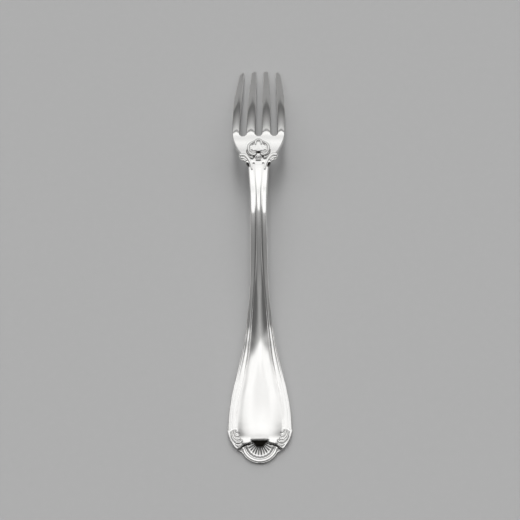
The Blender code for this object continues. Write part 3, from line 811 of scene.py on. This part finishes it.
def make_cartouche():
    turn = np.linspace(0, 2 * math.pi, CARTOUCHE_POINTS, endpoint=False)
    ways = np.column_stack([np.sin(turn), np.cos(turn)])
    reach = (np.abs(ways) ** CARTOUCHE_POWER).sum(1) ** (-1 / CARTOUCHE_POWER)
    outline = np.array(CARTOUCHE_CENTRE) + ways * reach[:, None] * CARTOUCHE_RADII
    return make_relief("neck_palmette", outline, CARTOUCHE_CENTRE, cartouche_face, CARTOUCHE_RINGS)


# Leaves on the shoulders

# Strands of a leaf, in the form of the scroll's ridges
LEAF_STRANDS = [([(6.1, 104.6), (5.3, 104.65), (4.6, 104.4), (4.0, 103.85), (3.5, 103.1), (3.1, 102.3),
                  (2.8, 101.5), (2.5, 100.5), (2.2, 99.0)], (0.62, 0.33), 0.3, (0.4, 0.15)),
                ([(5.9, 103.55), (5.2, 103.4), (4.6, 103.0), (4.1, 102.5)], (0.5, 0.32), 0.26, (0.35, 0.5)),
                ([(5.4, 102.65), (4.95, 102.5), (4.5, 102.15)], (0.38, 0.28), 0.2, (0.35, 0.5))]
LEAF_OUTLINE = [(1.95, 98.6), (2.1, 99.8), (2.4, 101.0), (2.75, 102.2), (3.1, 103.1), (3.6, 103.95),
                (4.2, 104.75), (5.0, 105.3), (6.0, 105.35), (6.7, 104.95), (6.75, 104.3), (6.45, 103.5),
                (6.05, 102.8), (5.5, 102.3), (4.9, 102.05), (4.4, 101.8), (3.8, 101.65), (3.35, 101.35),
                (3.0, 100.7), (2.75, 99.8), (2.5, 98.6)]
LEAF_CENTRE, LEAF_RINGS = (3.8, 103.2), 40
# Width of the grooves beside the strands, and how far in from the edge a leaf takes its height
LEAF_GROOVE, LEAF_INSET = 0.14, 0.5


def make_leaf(name, side):
    """A leaf that runs up from the stem and flares out to the shoulder in three strands."""
    strands = [(flowing(line), *rest) for line, *rest in LEAF_STRANDS]

    def face(x, s):
        relief, groove = ridge_relief(side * x, s, strands, wide=LEAF_GROOVE)
        within = np.minimum(side * x, half_width(s) - LEAF_INSET)
        return back_of_body(within, s) + np.clip(relief, 0, None) + 2 * RELIEF_LIFT, groove

    outline = flowing(LEAF_OUTLINE + LEAF_OUTLINE[:1])[:-1] * (side, 1)
    return make_relief(name, outline, (side * LEAF_CENTRE[0], LEAF_CENTRE[1]), face, LEAF_RINGS)


# Nodes

class Nodes:
    """Adds nodes to one tree and links them."""

    def __init__(self, tree):
        self.tree = tree

    def feed(self, node, values):
        """Set the inputs of a node to constants, or link them to the sockets that feed them."""
        for key, value in values.items():
            if isinstance(value, bpy.types.NodeSocket):
                self.tree.links.new(value, node.inputs[key])
            else:
                node.inputs[key].default_value = value

    def add(self, kind, values, **settings):
        node = self.tree.nodes.new(kind)
        for name, setting in settings.items():
            setattr(node, name, setting)
        self.feed(node, values)
        return node

    def math(self, operation, *values, clamp=False):
        inputs = dict(enumerate(values))
        return self.add("ShaderNodeMath", inputs, operation=operation, use_clamp=clamp).outputs["Value"]

    def span(self, value, *limits, way="LINEAR"):
        """Map a value between two limits onto two others."""
        inputs = dict(enumerate((value, *limits)))
        return self.add("ShaderNodeMapRange", inputs, interpolation_type=way).outputs["Result"]

    def fade(self, value, whole, gone):
        """1 at one limit and past it, 0 at the other, with a soft change between."""
        return self.span(value, whole, gone, 1, 0, way="SMOOTHSTEP")

    def mix(self, share, first, second):
        inputs = {"Factor": share, "A": first, "B": second}
        return self.add("ShaderNodeMix", inputs, data_type="RGBA").outputs["Result"]

    def ramp(self, share, stops):
        """Grey levels along a share: stops are (share, level)."""
        node = self.add("ShaderNodeValToRGB", {"Fac": share})
        elements = node.color_ramp.elements
        while len(elements) < len(stops):
            elements.new(0.5)
        for element, (position, level) in zip(elements, stops):
            element.position = position
            element.color = (level, level, level, 1)
        return node.outputs["Color"]

    def noise(self, scale, stretch, detail):
        """Noise over the object, stretched along its axes."""
        place = self.add("ShaderNodeTexCoord", {}).outputs["Object"]
        place = self.add("ShaderNodeMapping", {"Vector": place, "Scale": stretch}).outputs["Vector"]
        inputs = {"Vector": place, "Scale": scale, "Detail": detail}
        return self.add("ShaderNodeTexNoise", inputs).outputs["Fac"]


def new_material(name):
    """A material with its shader, and the nodes to finish it."""
    material = bpy.data.materials.new(name)
    material.use_nodes = True
    tree = material.node_tree
    return material, tree.nodes["Principled BSDF"], Nodes(tree)


# Finishes

# The dark colour and its amount make both the tarnish left in hollows and the painted shade
WEAR_AND_SHADE_INPUTS = {"Hollow": 0.0, "Clean Colour": (0.91, 0.905, 0.89, 1),
               "Patina And Shade Colour": (0.014, 0.012, 0.010, 1), "Patina And Shade": 0.5, "Polish": 0.05, "Hairlines": 1.0}
# Noise of the wear: (scale, stretch across, along and up, detail)
CLOUD_NOISE, PATCH_NOISE = (90, (1, 1, 1), 4), (700, (1, 1, 1), 3)
HAIRLINE_NOISE, CROSS_NOISE = (2600, (1, 0.035, 1), 2), (1900, (0.06, 1, 1), 2)
# What the noise gives: (noise from, noise to, amount from, amount to)
PATCH_SHARE = (0.35, 0.65, 0.9, 1.0)
CLOUD_VEIL, CLOUD_ROUGH = (0.45, 0.75, 0.0, 0.05), (0.4, 0.8, 0.0, 0.035)
HAIRLINE_HEIGHT, CROSS_HEIGHT = (0.62, 0.72, 0.0, 1.0), (0.66, 0.74, 0.0, 0.7)
TARNISH_ROUGH = 0.25
BUMP_STRENGTH, BUMP_DISTANCE = 0.02, 0.02 * MM
BODY_WEAR_AND_SHADE = {"Patina And Shade": 1.12, "Polish": 0.05, "Hairlines": 1.0}
RELIEF_WEAR_AND_SHADE = {"Patina And Shade": 1.12, "Polish": 0.06, "Hairlines": 0.4}


def silver_wear_and_shade():
    """Polished silver in use: hairlines from wiping, faint cloudy patches, and the dark colour that the
    hollow attribute calls for, which is tarnish left in hollows and painted shade in recesses, seams, pits,
    under the leaves, between the tines and at the end of the panel.
    """
    group = bpy.data.node_groups.new("silver_wear_and_shade", "ShaderNodeTree")
    for socket, value in WEAR_AND_SHADE_INPUTS.items():
        kind = "NodeSocketColor" if isinstance(value, tuple) else "NodeSocketFloat"
        group.interface.new_socket(socket, in_out="INPUT", socket_type=kind).default_value = value
    work = Nodes(group)
    given = group.nodes.new("NodeGroupInput").outputs
    cloud = work.noise(*CLOUD_NOISE)
    patchy = work.span(work.noise(*PATCH_NOISE), *PATCH_SHARE)
    gathered = work.math("MULTIPLY", given["Hollow"], patchy)
    # Tarnish and painted shade, where the hollow attribute asks for them
    tarnish_and_shade = work.math("MULTIPLY", gathered, given["Patina And Shade"], clamp=True)
    veil = work.math("ADD", tarnish_and_shade, work.span(cloud, *CLOUD_VEIL))
    colour = work.mix(veil, given["Clean Colour"], given["Patina And Shade Colour"])
    rough = work.math("ADD", given["Polish"], work.span(cloud, *CLOUD_ROUGH))
    rough = work.math("ADD", rough, work.math("MULTIPLY", tarnish_and_shade, TARNISH_ROUGH))
    along = work.span(work.noise(*HAIRLINE_NOISE), *HAIRLINE_HEIGHT)
    across = work.span(work.noise(*CROSS_NOISE), *CROSS_HEIGHT)
    lines = work.math("MULTIPLY", work.math("ADD", along, across), given["Hairlines"])
    made = {"Colour": colour, "Roughness": rough, "Height": lines}
    for socket in made:
        kind = "NodeSocketColor" if socket == "Colour" else "NodeSocketFloat"
        group.interface.new_socket(socket, in_out="OUTPUT", socket_type=kind)
    work.add("NodeGroupOutput", made)
    return group


def silver(name, group, values):
    """One silver finish: the group of wear and painted shade with its own values on a polished metal."""
    material, shader, work = new_material(name)
    hollow = work.add("ShaderNodeAttribute", {}, attribute_name="hollow")
    inputs = {"Hollow": hollow.outputs["Fac"], **values}
    wear_and_shade = work.add("ShaderNodeGroup", inputs, node_tree=group)
    inputs = {"Strength": BUMP_STRENGTH, "Distance": BUMP_DISTANCE, "Height": wear_and_shade.outputs["Height"]}
    bump = work.add("ShaderNodeBump", inputs)
    work.feed(shader, {"Metallic": 1.0, "Base Color": wear_and_shade.outputs["Colour"],
                       "Roughness": wear_and_shade.outputs["Roughness"], "Normal": bump.outputs["Normal"]})
    return material


# Table

TABLE_SIZE = 3.0
TABLE_TONE, TABLE_ROUGH, TABLE_SHEEN = 0.42, 0.9, 0.1
MOTTLE, MOTTLE_NOISE = 0.02, (400.0, (1, 1, 1), 5)


def make_table():
    """A pale, matt table top with the faintest mottling."""
    half = TABLE_SIZE / 2
    corners = [(-half, -half, 0), (half, -half, 0), (half, half, 0), (-half, half, 0)]
    mesh = bpy.data.meshes.new("table_top")
    mesh.from_pydata(corners, [], [(0, 1, 2, 3)])
    table = bpy.data.objects.new("table_top", mesh)
    bpy.context.scene.collection.objects.link(table)
    material, shader, work = new_material("table_paper")
    darker, lighter = ((*[TABLE_TONE * share] * 3, 1) for share in (1 - MOTTLE, 1 + MOTTLE))
    tone = work.mix(work.noise(*MOTTLE_NOISE), darker, lighter)
    work.feed(shader, {"Base Color": tone, "Roughness": TABLE_ROUGH, "Specular IOR Level": TABLE_SHEEN})
    mesh.materials.append(material)


# Room

# Levels by angle from straight up, in degrees: under 0 towards the handle, over 0 beyond the tines
ROOM_LEVELS = [(-90, 0.04), (-50, 0.07), (-30, 0.13), (-20, 0.19), (-11, 0.24), (-6, 0.27), (-3.5, 0.30),
               (2, 0.36), (5, 0.40), (62.4, 0.28), (64.2, 0.28), (65.4, 0.68), (66.3, 0.64), (69, 0.48),
               (72.8, 0.34), (77.8, 0.18), (79.8, 0.142), (81.8, 0.142), (83.0, 0.31), (90, 0.31)]
# The soft light by the same angle, its edges, and how its front edge bends and softens to the sides
LIGHT_LEVELS = [(5, 1.09), (22, 1.09), (29, 0.92), (35, 0.74), (40, 0.92), (45, 1.02), (51, 0.86),
                (55, 0.9), (59, 1.09), (90, 1.12)]
LIGHT_FRONT, LIGHT_BACK, LIGHT_BACK_SOFT = 5.0, 62.0, 0.54
LIGHT_BEND, LIGHT_SOFT, SIDE_SOFT = 24.0, 0.6, 8.0
# A fainter patch in the soft light: its strength by the same angle, and its half width
DIM_LEVELS = [(7.5, 0.0), (9.2, 0.17), (10.7, 0.34), (12.3, 0.16), (14, 0.04), (18, 0.0)]
LIGHT_ASIDE, DIM_HALF = 0.02, (0.05, 0.24)
# Light at the sides by angle above the table, in degrees: two low strips
SIDE_LEVELS = [(0, 0.04), (3, 0.1), (8, 0.5), (24, 0.5), (31, 0.19), (37, 0.12), (90, 0.12)]
# How far the light and the room reach to the sides, and the angles where the room widens
LIGHT_HALF_WIDTH, ROOM_HALF_WIDTH, ROOM_WIDENS = (0.42, 0.74), (0.15, 0.62), (30.0, 20.0)
# Two long soft lamps over the table: (middle, half width) along x or y, and levels
LAMP_ALONG, LAMP_ALONG_ENDS = (0.02, 0.17), (0.4, 0.9)
LAMP_ACROSS, LAMP_ACROSS_ENDS = (0.12, 0.34), (0.0, 1.2)
ALONG_LEVEL, ACROSS_LEVEL, ALL_ROUND = 8.91, 4.23, 0.04
ROOM_STRENGTH = 1.25


def lean_share(angle):
    """An angle from straight up as a share of the half turn over the fork."""
    return (angle + 90) / 180


def lean_stops(levels):
    return [(lean_share(angle), level / ROOM_STRENGTH) for angle, level in levels]


def seen_room(work, x, y, z):
    """What the camera and the metal see: one broad soft light from overhead to behind the tines."""
    quarter = math.pi / 2
    lean = work.span(work.math("ARCTAN2", y, z), -quarter, quarter, 0, 1)
    rise = work.span(work.math("ARCSINE", z), 0, quarter, 0, 1)
    middle = work.ramp(lean, lean_stops(ROOM_LEVELS))
    light = work.ramp(lean, lean_stops(LIGHT_LEVELS))
    sides = work.ramp(rise, [(angle / 90, level / ROOM_STRENGTH) for angle, level in SIDE_LEVELS])

    across = work.math("SUBTRACT", x, LIGHT_ASIDE)
    aside = work.math("MULTIPLY", across, across)
    bend = work.math("MULTIPLY", aside, LIGHT_BEND / 180)
    past_front = work.math("SUBTRACT", work.math("SUBTRACT", lean, lean_share(LIGHT_FRONT)), bend)
    softness = work.math("ADD", work.math("MULTIPLY", aside, SIDE_SOFT / 180), LIGHT_SOFT / 180)
    from_front = work.fade(work.math("DIVIDE", past_front, softness), 1, -1)
    back_edge = [lean_share(LIGHT_BACK + side * LIGHT_BACK_SOFT) for side in (-1, 1)]
    to_back = work.fade(lean, *back_edge)
    off_middle = work.math("ABSOLUTE", x)
    in_light = work.fade(off_middle, *LIGHT_HALF_WIDTH)
    lit = work.math("MULTIPLY", work.math("MULTIPLY", from_front, to_back), in_light)

    in_room = work.fade(off_middle, *ROOM_HALF_WIDTH)
    widened = work.fade(lean, *map(lean_share, ROOM_WIDENS))
    in_room = work.math("MAXIMUM", in_room, work.math("MULTIPLY", widened, in_light))
    in_patch = work.fade(work.math("ABSOLUTE", across), *DIM_HALF)
    dim = work.ramp(lean, [(lean_share(angle), share) for angle, share in DIM_LEVELS])
    dim = work.math("MULTIPLY", in_patch, dim)
    return work.mix(lit, work.mix(in_room, sides, middle), work.mix(dim, light, middle))


def plain_light(work, x, y):
    """Plain light on the table from two long soft lamps that cross overhead."""

    def lamp(place, middle, half):
        off_middle = work.math("ABSOLUTE", work.math("SUBTRACT", place, middle))
        return work.fade(off_middle, 0, half)

    along = work.math("MULTIPLY", lamp(x, *LAMP_ALONG), lamp(y, *LAMP_ALONG_ENDS))
    along = work.math("MULTIPLY", along, ALONG_LEVEL / ROOM_STRENGTH)
    across = work.math("MULTIPLY", lamp(y, *LAMP_ACROSS), lamp(x, *LAMP_ACROSS_ENDS))
    across = work.math("MULTIPLY", across, ACROSS_LEVEL / ROOM_STRENGTH)
    return work.math("ADD", work.math("ADD", across, ALL_ROUND / ROOM_STRENGTH), along)


def light_room():
    """A studio: the camera and the metal see the room, and plain lamps overhead light the table."""
    world = bpy.data.worlds.new("studio")
    world.use_nodes = True
    bpy.context.scene.world = world
    work = Nodes(world.node_tree)
    place = work.add("ShaderNodeTexCoord", {}).outputs["Generated"]
    x, y, z = work.add("ShaderNodeSeparateXYZ", {"Vector": place}).outputs
    ray = work.add("ShaderNodeLightPath", {}).outputs
    seen = work.math("MAXIMUM", ray["Is Camera Ray"], ray["Is Glossy Ray"])
    seen = work.math("MAXIMUM", seen, ray["Is Transmission Ray"])
    light = work.mix(seen, plain_light(work, x, y), seen_room(work, x, y, z))
    work.feed(world.node_tree.nodes["Background"], {"Color": light, "Strength": ROOM_STRENGTH})


# Camera

AIM = (0.13, -4.87, 5.0)
CAMERA_DISTANCE, CAMERA_ELEVATION, CAMERA_AZIMUTH = 400.0, 66.0, 4.5
LENS, NEAREST_SEEN = 80.4, 0.01


def towards(azimuth, elevation):
    turn, rise = math.radians(azimuth), math.radians(elevation)
    return Vector((math.sin(turn) * math.cos(rise), -math.cos(turn) * math.cos(rise), math.sin(rise)))


def make_camera():
    """The camera over the handle end, held so that the fork stands upright in the frame."""
    lens = bpy.data.cameras.new("camera")
    lens.lens = LENS
    lens.clip_start = NEAREST_SEEN
    camera = bpy.data.objects.new("camera", lens)
    back = towards(CAMERA_AZIMUTH, CAMERA_ELEVATION)
    right = Vector((0, 1, 0)).cross(back).normalized()
    up = back.cross(right)
    turned = Matrix((right, up, back)).transposed().to_4x4()
    camera.matrix_world = Matrix.Translation((Vector(AIM) + back * CAMERA_DISTANCE) * MM) @ turned
    bpy.context.scene.collection.objects.link(camera)
    bpy.context.scene.camera = camera


# The fork

def place_piece(piece, node, material):
    piece.data.materials.append(material)
    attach(piece, "root")
    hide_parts(node)


def main():
    bpy.context.scene.view_settings.view_transform = "Standard"
    wear_and_shade = silver_wear_and_shade()
    body_silver = silver("body_silver", wear_and_shade, BODY_WEAR_AND_SHADE)
    relief_silver = silver("relief_silver", wear_and_shade, RELIEF_WEAR_AND_SHADE)
    place_piece(make_body(), "fork_body", body_silver)
    place_piece(make_shell(), "shell", relief_silver)
    place_piece(make_cartouche(), "neck_cartouche", relief_silver)
    for name, side in (("left", -1), ("right", 1)):
        scroll, leaf = make_scroll("scroll_" + name, side), make_leaf("leaf_" + name, side)
        place_piece(scroll, name + "_scroll", relief_silver)
        place_piece(leaf, name + "_shoulder_leaf", relief_silver)
    make_table()
    light_room()
    make_camera()


main()
